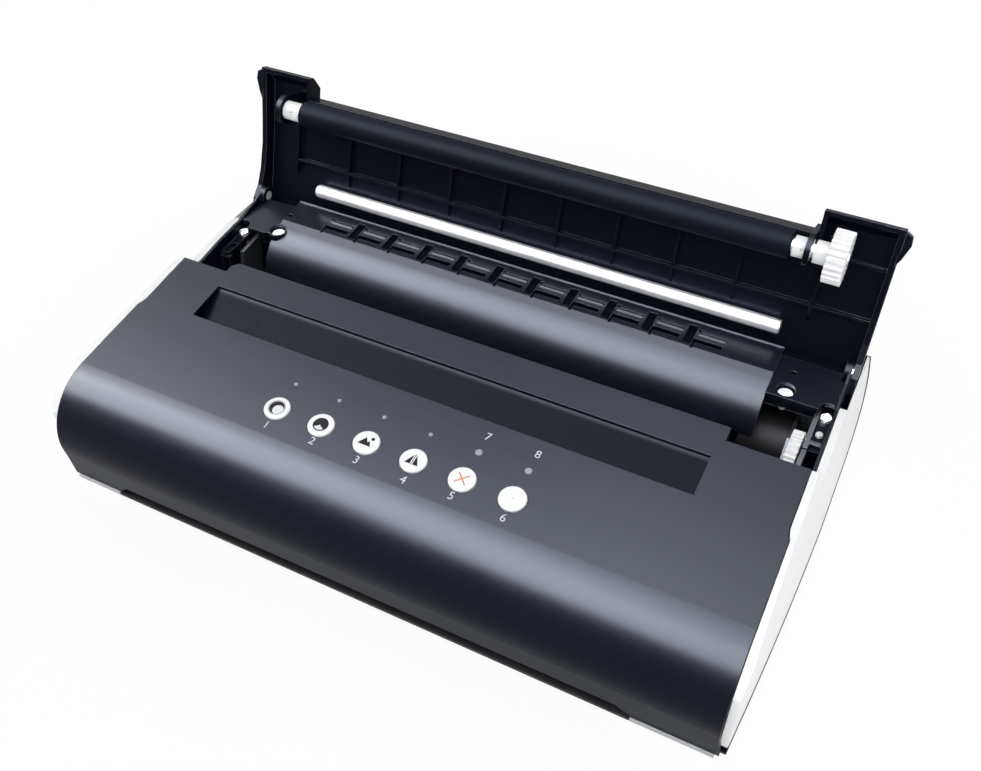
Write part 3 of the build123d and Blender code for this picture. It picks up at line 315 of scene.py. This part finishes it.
def head_glaze():
    """Glazed ceramic strip with the line of heating dots along its crown."""
    finish = Finish("head_glaze", (0.02, 0.018, 0.018), 0.2)
    finish.set("Specular IOR Level", 0.3)
    depth = finish.node("ShaderNodeSeparateXYZ", Vector=finish.place()).outputs["Y"]
    off_line = finish.maths("ABSOLUTE", Maths(finish, depth) - (116.7 * MM + FRONT_Y), 0.0)
    line = 1 - finish.ramp(off_line, 0.0002, 0.0004)
    speckle = finish.noise(0.0015, 3.0)
    ground = finish.mix(speckle, (0.014, 0.013, 0.014), (0.028, 0.025, 0.025))
    finish.set("Base Color", finish.mix(line, ground, (0.12, 0.1, 0.08)))
    finish.set("Roughness", 0.1 + 0.15 * speckle)
    return finish.material


def circuit_board():
    """Green solder mask with copper tracks showing through as lighter lines."""
    finish = Finish("circuit_board", (0.01, 0.09, 0.035), 0.3)
    weave = finish.node(
        "ShaderNodeTexBrick", Vector=finish.place((1.0, 1.0, 1.0)), Scale=160.0, Mortar_Size=0.03
    ).outputs["Fac"]
    islands = finish.ramp(finish.noise(0.01, 1.0), 0.48, 0.52)
    tracks = Maths(finish, weave) * islands
    finish.set("Base Color", finish.mix(tracks, (0.008, 0.07, 0.03), (0.03, 0.2, 0.09)))
    finish.set("Roughness", 0.26 + 0.1 * finish.noise(0.002, 2.0))
    finish.bump(tracks, 0.00003)
    return finish.material


def scan_window():
    finish = Finish("scan_window", (0.75, 0.82, 0.84), 0.05)
    finish.set("Transmission Weight", 0.9)
    finish.set("IOR", 1.5)
    finish.set("Roughness", 0.03 + 0.05 * finish.noise(0.01, 4.0))
    return finish.material


def led_lens():
    finish = Finish("led_lens", (0.34, 0.35, 0.37), 0.22)
    finish.set("Specular IOR Level", 0.04)
    finish.set("Base Color", finish.mix(finish.noise(0.0006, 2.0), (0.28, 0.29, 0.31), (0.4, 0.41, 0.43)))
    return finish.material


def print_ink(name, colour):
    """Pad-printed ink: slightly uneven cover and a dry edge."""
    finish = Finish(name, colour, 0.5)
    finish.set("Specular IOR Level", 0.01)
    thin = tuple(part * 0.86 for part in colour)
    finish.set("Base Color", finish.mix(finish.ramp(finish.noise(0.0004, 3.0), 0.3, 0.7), thin, colour))
    finish.bump(finish.noise(0.00015, 2.0), 0.000004)
    return finish.material


FINISHES = (
    slate_plastic, navy_plastic, white_plastic, lip_plastic, pale_gear, black_plastic, roller_rubber,
    bright_steel, sheet_steel, motor_metal, brass_pinion, head_aluminium, head_glaze, circuit_board,
    scan_window, led_lens,
)
MADE = {}


# ---------------------------------------------------------------------------
# Modelling helpers
# ---------------------------------------------------------------------------
def datum(x, y, z):
    """Point given like the part's own dimensions, mm from the cover's bottom front corner."""
    return Vector((x * MM, y * MM + FRONT_Y, z * MM + FOOT_Z))


def piece(name, mesh_maker, body, material, where=Matrix.Identity(4), smooth=False):
    """Makes one piece from a bmesh, puts its place into its mesh and lets it ride on a body."""
    shape = bmesh.new()
    mesh_maker(shape)
    bmesh.ops.transform(shape, matrix=where, verts=shape.verts)
    bmesh.ops.recalc_face_normals(shape, faces=shape.faces)
    mesh = bpy.data.meshes.new(name)
    shape.to_mesh(mesh)
    shape.free()
    made = bpy.data.objects.new(name, mesh)
    bpy.context.scene.collection.objects.link(made)
    made.data.materials.append(material)
    for face in made.data.polygons:
        face.use_smooth = smooth
    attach(made, body)
    return made


def raise_flat(shape, height):
    """Turns the flat faces made so far into a closed slab of a height."""
    grown = bmesh.ops.extrude_face_region(shape, geom=shape.faces[:])
    lifted = [item for item in grown["geom"] if isinstance(item, bmesh.types.BMVert)]
    bmesh.ops.translate(shape, verts=lifted, vec=(0, 0, height))


def outline(shape, points, at=(0, 0, 0)):
    """One flat face through a few corners, mm."""
    corners = [shape.verts.new((Vector((*point, 0)) + Vector(at)) * MM) for point in points]
    shape.faces.new(corners)


def disc(shape, radius, at=(0, 0, 0), segments=40):
    """Flat round face, mm."""
    bmesh.ops.create_circle(
        shape, cap_ends=True, radius=radius * MM, segments=segments,
        matrix=Matrix.Translation(Vector(at) * MM),
    )


def ring(shape, outer, inner, segments=48):
    """Flat ring, mm, by a full spin of a short edge."""
    ends = [shape.verts.new((radius * MM, 0, 0)) for radius in (inner, outer)]
    edge = shape.edges.new(ends)
    bmesh.ops.spin(
        shape, geom=[*ends, edge], cent=(0, 0, 0), axis=(0, 0, 1), angle=math.tau, steps=segments, use_merge=True
    )


# ---------------------------------------------------------------------------
# The cover's flat top, on which the keys and prints lie
# ---------------------------------------------------------------------------
SLOPE = math.radians(5.0)
TOP_START = (25.04, 52.19)     # where the flat top begins, mm
CAP_PITCH = 22.72
CAP_FIRST_X = -59.2
CAP_ROW_Y = 38.95
CAP_RISE = 0.9
CAPS = ("lighter_button", "darker_button", "photo_button", "mirror_button", "stop_button", "copy_button")


def on_top(x, y, lift):
    """Matrix that lays a flat drawing on the cover's top at a place, mm, and a lift above it."""
    along = (y - TOP_START[0]) / math.cos(SLOPE)
    foot = datum(x, *TOP_START)
    foot += Vector((0, along * math.cos(SLOPE), along * math.sin(SLOPE))) * MM
    foot += Vector((0, -math.sin(SLOPE), math.cos(SLOPE))) * lift * MM
    return Matrix.Translation(foot) @ Matrix.Rotation(SLOPE, 4, "X")


INK = 0.02                     # thickness of one printed layer, mm


def light_mark(layers):
    """Narrow moon in a thin ring."""
    layers("black", lambda shape: disc(shape, 3.45))
    layers("white", lambda shape: disc(shape, 2.5, (1.15, -0.9, 0)))
    layers("black", lambda shape: ring(shape, 3.85, 3.65))


def dark_mark(layers):
    """Nearly full disc with a light foot."""
    layers("black", lambda shape: disc(shape, 3.5))
    layers("white", lambda shape: outline(shape, [(-2.3, -1.9), (-1.0, -1.1), (-0.2, -0.2), (0.7, -1.0),
                                                  (2.2, -1.7), (1.3, -2.7), (0, -3.0), (-1.3, -2.7)]))


def photo_mark(layers):
    """Hill with a spot over it."""
    layers("black", lambda shape: outline(shape, [(-3.4, -1.7), (-0.9, 2.3), (0.6, 0.1), (1.3, 1.0), (2.7, -1.7)]))
    layers("black", lambda shape: disc(shape, 0.8, (2.1, 2.3, 0)))


def mirror_mark(layers):
    """Two wedges, one the mirror of the other, and the line between them."""
    for side in (-1, 1):
        corners = [(side * x, y) for x, y in [(0.6, 2.6), (0.6, -2.2), (3.1, -2.2)]]
        layers("black", lambda shape: outline(shape, corners))
    layers("black", lambda shape: outline(shape, [(-0.15, -2.5), (0.15, -2.5), (0.15, 2.9), (-0.15, 2.9)]))


def stop_mark(layers):
    """Crossed bars."""
    for side in (-1, 1):
        turn = math.radians(45 * side)
        corners = [(x * math.cos(turn) - y * math.sin(turn), x * math.sin(turn) + y * math.cos(turn))
                   for x, y in [(-3.5, -0.27), (3.5, -0.27), (3.5, 0.27), (-3.5, 0.27)]]
        layers("orange", lambda shape: outline(shape, corners))


def copy_mark(layers):
    """Bare but for the moulding point in the middle."""
    layers("grey", lambda shape: disc(shape, 0.28))


MARKS = (light_mark, dark_mark, photo_mark, mirror_mark, stop_mark, copy_mark)
NUMBER_PLACES = (
    (-58.7, 29.6), (-35.7, 30.5), (-13.3, 29.7), (9.6, 29.1), (31.2, 30.3), (54.8, 29.6),
    (31.6, 62.5), (54.5, 62.7),
)


def print_number(text, index, size):
    """A plain number, made from a flat text curve."""
    curve = bpy.data.curves.new(f"number_{text}", "FONT")
    curve.body = text
    curve.size = size * MM
    curve.align_x = "CENTER"
    curve.align_y = "CENTER"
    curve.extrude = INK * MM
    curve.resolution_u = 3
    written = bpy.data.objects.new(f"number_{index}", curve)
    bpy.context.scene.collection.objects.link(written)
    mesh = bpy.data.meshes.new_from_object(written.evaluated_get(bpy.context.evaluated_depsgraph_get()))
    bpy.data.objects.remove(written)
    mesh.transform(on_top(*NUMBER_PLACES[index - 1], 0.03))
    made = bpy.data.objects.new(f"number_{index}", mesh)
    bpy.context.scene.collection.objects.link(made)
    made.data.materials.clear()
    made.data.materials.append(MADE["white_ink"])
    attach(made, "base")


# ---------------------------------------------------------------------------
# Settings that a user would change
# ---------------------------------------------------------------------------
class CopierSettings(bpy.types.PropertyGroup):
    """Colours and sizes of the copier's finishes and prints."""

    slate_colour: FloatVectorProperty(
        name="Slate", description="Colour of the cover and the rear deck", subtype="COLOR", size=3,
        default=(0.0042, 0.0056, 0.0112), min=0.0, max=1.0,
    )
    number_size: FloatProperty(
        name="Numbers", description="Height of the printed numbers, mm", default=5.4, min=1.0, max=8.0,
    )
    edge_width: FloatProperty(
        name="Edges", description="Radius that the edges look rounded by", subtype="DISTANCE",
        unit="LENGTH", default=0.0004, min=0.0, max=0.001,
    )


class COPIER_OT_finishes(bpy.types.Operator):
    """Give every CAD piece its finish and soften its edges"""

    bl_idname = "copier.finishes"
    bl_label = "Finishes"

    def execute(self, context):
        for make in FINISHES:
            MADE[make.__name__] = make()
        MADE["black_ink"] = print_ink("black_ink", (0.015, 0.015, 0.02))
        MADE["white_ink"] = print_ink("white_ink", (0.82, 0.84, 0.86))
        MADE["orange_ink"] = print_ink("orange_ink", (0.75, 0.25, 0.06))
        MADE["grey_ink"] = print_ink("grey_ink", (0.45, 0.47, 0.5))
        slots = {entry["node"]: entry["material_slot"] for entry in frame["record"]["subparts"]}
        for name, node in frame["nodes"].items():
            node.data.materials.clear()
            node.data.materials.append(MADE[slots[name]])
            for face in node.data.polygons:
                face.material_index = 0
        return {"FINISHED"}


class COPIER_OT_slot_mark(bpy.types.Operator):
    """Make the small square outline moulded on the document slot's floor"""

    bl_idname = "copier.slot_mark"
    bl_label = "Slot mark"

    SLOT_FLOOR = math.radians(20.83)           # rises to the back

    def execute(self, context):
        def make(shape):
            outline(shape, [(-2.1, -2.1), (2.1, -2.1), (2.1, 2.1), (-2.1, 2.1)])
            middle = shape.faces[:]
            bmesh.ops.inset_region(
                shape, faces=middle, thickness=0.5 * MM, use_boundary=True, use_even_offset=True
            )
            bmesh.ops.delete(shape, geom=middle, context="FACES_ONLY")
            raise_flat(shape, 0.12 * MM)

        where = Matrix.Translation(datum(-98.3, 82.3, 53.14)) @ Matrix.Rotation(self.SLOT_FLOOR, 4, "X")
        piece("slot_mark", make, "base", MADE["grey_ink"], where)
        return {"FINISHED"}


class COPIER_OT_exit_sill(bpy.types.Operator):
    """Make the dark sill in the copy exit, under the cover's front edge and between the two lips"""

    bl_idname = "copier.exit_sill"
    bl_label = "Exit sill"

    PROFILE = ((-0.6, -2.2), (-0.9, -0.5), (2.5, -0.5), (2.7, -2.2))     # depth and height, mm
    ENDS = (-132.7, 123.6)

    def execute(self, context):
        def make(shape):
            outline(shape, self.PROFILE)
            raise_flat(shape, (self.ENDS[1] - self.ENDS[0]) * MM)

        sideways = Matrix(((0, 0, 1, 0), (1, 0, 0, 0), (0, 1, 0, 0), (0, 0, 0, 1)))
        where = Matrix.Translation(datum(self.ENDS[0], 0, 0)) @ sideways
        piece("exit_sill", make, "base", MADE["black_plastic"], where)
        return {"FINISHED"}


class COPIER_OT_head_springs(bpy.types.Operator):
    """Make the four coil springs under the thermal head, in place of the part's plain springs, which it hides"""

    bl_idname = "copier.head_springs"
    bl_label = "Head springs"

    ACROSS = (-96.0, -36.0, 27.0, 87.0)        # mm
    DEPTH = 115.0
    FOOT, HEAD = 9.6, 24.9
    COIL = 2.9
    WIRE = 0.45
    TURNS = 7
    STEPS = 20                                 # to a turn
    TRAVEL = 1.5

    def execute(self, context):
        length = self.HEAD - self.FOOT

        def make(shape):
            count = self.TURNS * self.STEPS
            climb = (length - 2 * self.WIRE) * MM / count
            for x in self.ACROSS:
                start = Matrix.Translation(datum(x + self.COIL, self.DEPTH, self.FOOT + self.WIRE))
                wire = bmesh.ops.create_circle(
                    shape, radius=self.WIRE * MM, segments=8, matrix=start @ Matrix.Rotation(math.pi / 2, 4, "X")
                )["verts"]
                edges = {edge for vert in wire for edge in vert.link_edges}
                bmesh.ops.spin(
                    shape, geom=[*wire, *edges], cent=datum(x, self.DEPTH, 0), axis=(0, 0, 1),
                    dvec=(0, 0, climb), angle=math.tau * self.TURNS, steps=count,
                )
            bmesh.ops.holes_fill(shape, edges=shape.edges[:], sides=8)

        coils = piece("head_coils", make, "base", MADE["sheet_steel"], smooth=True)
        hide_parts("head_springs")
        tuple(datum(0, self.DEPTH, self.FOOT))
        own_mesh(coils)
        return {"FINISHED"}


class COPIER_OT_key_marks(bpy.types.Operator):
    """Print the small marks on the key caps"""

    bl_idname = "copier.key_marks"
    bl_label = "Key marks"

    def execute(self, context):
        for index, (cap, mark) in enumerate(zip(CAPS, MARKS)):
            count = 0

            def layers(ink, draw):
                nonlocal count
                lift = CAP_RISE + INK * count * 1.5 + 0.01
                where = on_top(CAP_FIRST_X + CAP_PITCH * index, CAP_ROW_Y, lift)

                def make(shape):
                    draw(shape)
                    raise_flat(shape, INK * MM)

                piece(f"{cap}_mark_{count + 1}", make, cap, MADE[f"{ink}_ink"], where)
                count += 1

            mark(layers)
        return {"FINISHED"}


class COPIER_OT_numbers(bpy.types.Operator):
    """Print plain numbers beside the keys and the two large lamps"""

    bl_idname = "copier.numbers"
    bl_label = "Numbers"

    def execute(self, context):
        for index in range(1, len(NUMBER_PLACES) + 1):
            print_number(str(index), index, SETTINGS.number_size)
        return {"FINISHED"}


class COPIER_OT_stage(bpy.types.Operator):
    """Pale floor, soft studio lamps, white background and the camera"""

    bl_idname = "copier.stage"
    bl_label = "Stage"

    CAMERA = (169.197, -190.358, 384.283)      # mm from the cover's bottom front corner
    RIGHT = (0.89058857, 0.45399272, -0.02725098)
    DOWN = (0.30979499, -0.64940491, -0.69447846)
    FORWARD = (-0.33298508, 0.61005236, -0.71899725)
    FOCAL = 1045.1                             # in pixels of the photograph
    CENTRE_U = 485.2
    LAMPS = (
        # name, place, aimed at, width, height, watts, only in reflections
        ("shoulder_strip", (-0.55, -0.53, 1.38), (0.0, -0.08, 0.05), 2.0, 0.8, 400.0, True),
        ("middle_strip", (-0.58, 0.02, 1.46), (0.0, -0.08, 0.05), 2.0, 0.34, 146.0, True),
        ("low_strip", (0.0, -0.96, 1.13), (0.0, -0.08, 0.05), 1.0, 0.28, 70.0, True),
        ("overhead", (-0.45, 0.34, 1.39), (0.0, -0.08, 0.05), 1.7, 0.32, 58.0, True),
        ("right_overhead", (0.1, 0.48, 1.34), (0.0, -0.08, 0.05), 0.8, 0.47, 18.0, True),
        ("backdrop", (-0.6, 0.9, 1.06), (0.0, -0.08, 0.05), 2.0, 0.54, 14.0, True),
        ("key", (0.5, -0.8, 1.2), (0.0, 0.0, 0.03), 0.9, 0.9, 12.0, False),
    )

    def camera(self, context):
        data = bpy.data.cameras.new("camera")
        data.sensor_width = 36.0
        data.lens = self.FOCAL * data.sensor_width / PHOTO_SIZE[0]
        data.shift_x = (PHOTO_SIZE[0] / 2 - self.CENTRE_U) / PHOTO_SIZE[0]
        data.clip_start = 0.01
        made = bpy.data.objects.new("camera", data)
        context.scene.collection.objects.link(made)
        turn = Matrix((self.RIGHT, [-part for part in self.DOWN], [-part for part in self.FORWARD])).transposed()
        made.matrix_world = Matrix.Translation(datum(*self.CAMERA)) @ turn.to_4x4()
        context.scene.camera = made

    def lamps(self, context):
        for name, place, aim, width, height, watts, mirrored_only in self.LAMPS:
            data = bpy.data.lights.new(name, "AREA")
            data.shape = "RECTANGLE"
            data.size = width
            data.size_y = height
            data.energy = watts
            made = bpy.data.objects.new(name, data)
            context.scene.collection.objects.link(made)
            back = (Vector(place) - Vector(aim)).normalized()
            level = (Vector((1, 0, 0)) - back * back.x).normalized()
            turn = Matrix((level, back.cross(level), back)).transposed()
            made.matrix_world = Matrix.Translation(place) @ turn.to_4x4()
            made.visible_diffuse = not mirrored_only

    def floor(self, context):
        shape = bmesh.new()
        bmesh.ops.create_grid(shape, x_segments=1, y_segments=1, size=6.0)
        mesh = bpy.data.meshes.new("floor")
        shape.to_mesh(mesh)
        shape.free()
        made = bpy.data.objects.new("floor", mesh)
        context.scene.collection.objects.link(made)
        finish = Finish("floor", (0.92, 0.92, 0.92), 0.9)
        finish.set("Specular IOR Level", 0.0)
        away = finish.node("ShaderNodeVectorMath", {"operation": "LENGTH"}, _0=finish.place())
        far = finish.ramp(Maths(finish, away.outputs["Value"]), 0.15, 0.29)
        seen = Maths(finish, finish.node("ShaderNodeLightPath").outputs["Is Camera Ray"])
        plain = finish.node("ShaderNodeEmission", Color=(1.0, 1.0, 1.0), Strength=1.0).outputs[0]
        paler = (0.86 + 0.14 * far) * seen
        ground = finish.node("ShaderNodeMixShader", _0=paler, _1=finish.shader.outputs[0], _2=plain)
        finish.plug(finish.tree.nodes["Material Output"].inputs["Surface"], ground.outputs[0])
        made.data.materials.append(finish.material)

    def world(self, context):
        world = bpy.data.worlds.new("studio")
        world.use_nodes = True
        context.scene.world = world
        tree = world.node_tree
        path = tree.nodes.new("ShaderNodeLightPath")
        seen = tree.nodes.new("ShaderNodeMath")
        seen.operation = "MAXIMUM"
        tree.links.new(path.outputs["Is Camera Ray"], seen.inputs[0])
        shiny = tree.nodes.new("ShaderNodeMath")
        shiny.operation = "MAXIMUM"
        tree.links.new(path.outputs["Is Glossy Ray"], shiny.inputs[0])
        tree.links.new(path.outputs["Is Transmission Ray"], shiny.inputs[1])
        tree.links.new(shiny.outputs[0], seen.inputs[1])
        strength = tree.nodes.new("ShaderNodeMapRange")
        strength.inputs["To Min"].default_value = 0.66
        strength.inputs["To Max"].default_value = 1.0
        tree.links.new(seen.outputs[0], strength.inputs["Value"])
        tree.links.new(strength.outputs[0], tree.nodes["Background"].inputs["Strength"])
        tree.nodes["Background"].inputs["Color"].default_value = (1.0, 1.0, 1.0, 1.0)

    def execute(self, context):
        context.scene.view_settings.view_transform = "Standard"
        self.camera(context)
        self.lamps(context)
        self.floor(context)
        self.world(context)
        return {"FINISHED"}


class COPIER_PT_panel(bpy.types.Panel):
    """Everything that makes the copier, in order"""

    bl_idname = "COPIER_PT_panel"
    bl_label = "Thermal stencil copier"
    bl_space_type = "VIEW_3D"
    bl_region_type = "UI"
    bl_category = "Copier"

    def draw(self, context):
        for name in ("slate_colour", "number_size", "edge_width"):
            self.layout.prop(context.scene.copier, name)
        for operator in OPERATORS:
            self.layout.operator(operator.bl_idname)


OPERATORS = (
    COPIER_OT_finishes, COPIER_OT_slot_mark, COPIER_OT_exit_sill, COPIER_OT_head_springs,
    COPIER_OT_key_marks, COPIER_OT_numbers, COPIER_OT_stage,
)
CLASSES = (CopierSettings, *OPERATORS, COPIER_PT_panel)


def register():
    for cls in CLASSES:
        bpy.utils.register_class(cls)
    bpy.types.Scene.copier = PointerProperty(type=CopierSettings)


def unregister():
    del bpy.types.Scene.copier
    for cls in reversed(CLASSES):
        bpy.utils.unregister_class(cls)


def main():
    global SETTINGS
    register()
    SETTINGS = bpy.context.scene.copier
    for operator in OPERATORS:
        group, name = operator.bl_idname.split(".")
        getattr(getattr(bpy.ops, group), name)()


if __name__ == "__main__":
    main()
